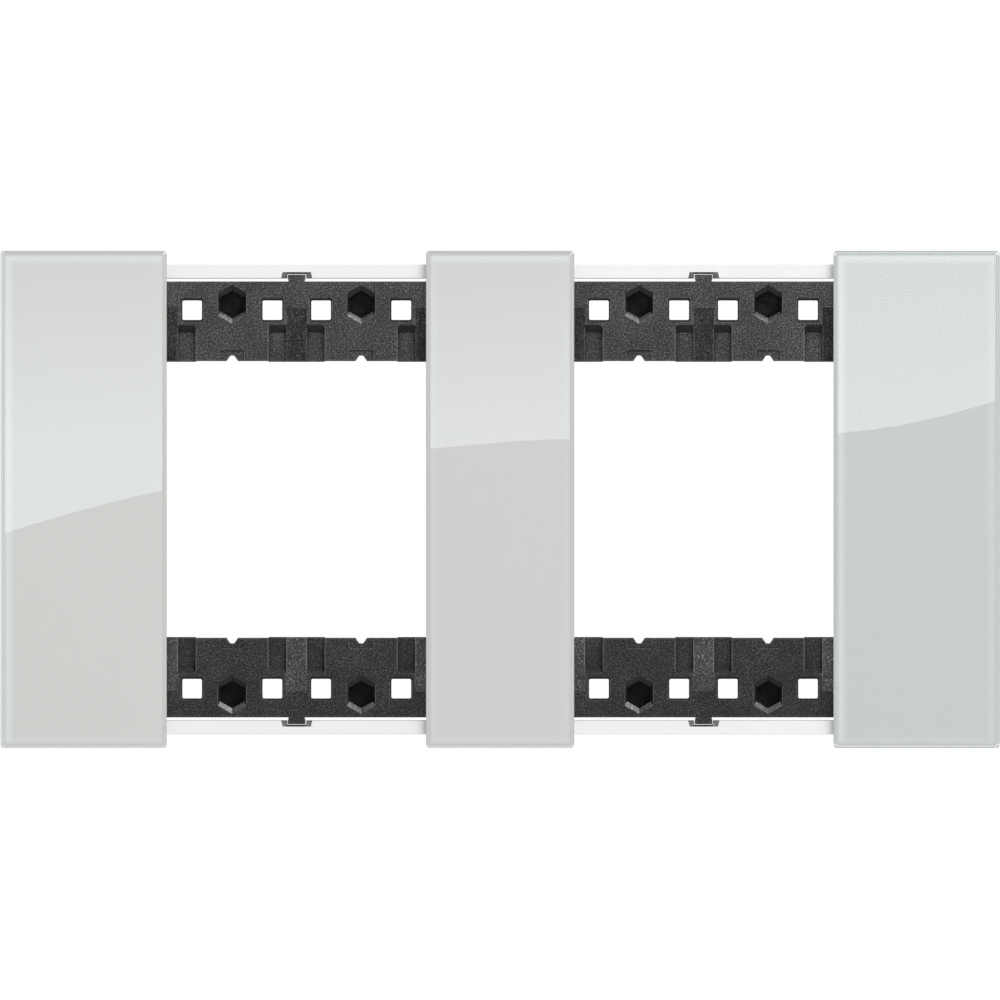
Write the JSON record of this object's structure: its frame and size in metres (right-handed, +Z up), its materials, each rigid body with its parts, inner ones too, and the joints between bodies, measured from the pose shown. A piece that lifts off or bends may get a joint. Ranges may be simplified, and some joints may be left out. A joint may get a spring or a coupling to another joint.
{
  "type": "switch frame",
  "caption": "Wide wall switch frame with open module windows: pale glass panels on a white carrier, snapped over dark support frames that screw to wall boxes.",
  "frame": {"origin": "on the wall plane, midway between the two wall boxes", "axes": "+X to the right, +Z up, +Y into the wall, so the front faces -Y"},
  "size_m": [0.174, 0.0204, 0.0866],
  "materials": {
    "clear_glass": "polished",
    "pale_film": "smooth",
    "white_plastic": "satin",
    "dark_plastic": "fine grain",
    "screw_steel": "zinc plated"
  },
  "bodies": {
    "supports": {"left_support_frame": "dark_plastic", "right_support_frame": "dark_plastic", "box_screws": "screw_steel"},
    "cover": {"panel_carrier": "white_plastic", "left_colour_film": "pale_film", "centre_colour_film": "pale_film", "right_colour_film": "pale_film", "left_glass_panel": "clear_glass", "centre_glass_panel": "clear_glass", "right_glass_panel": "clear_glass"}
  },
  "joints": [
    {"name": "cover_pull", "type": "slide", "parent": "supports", "child": "cover", "axis": [0, -1, 0], "range_m": [0, 0.02]}
  ]
}
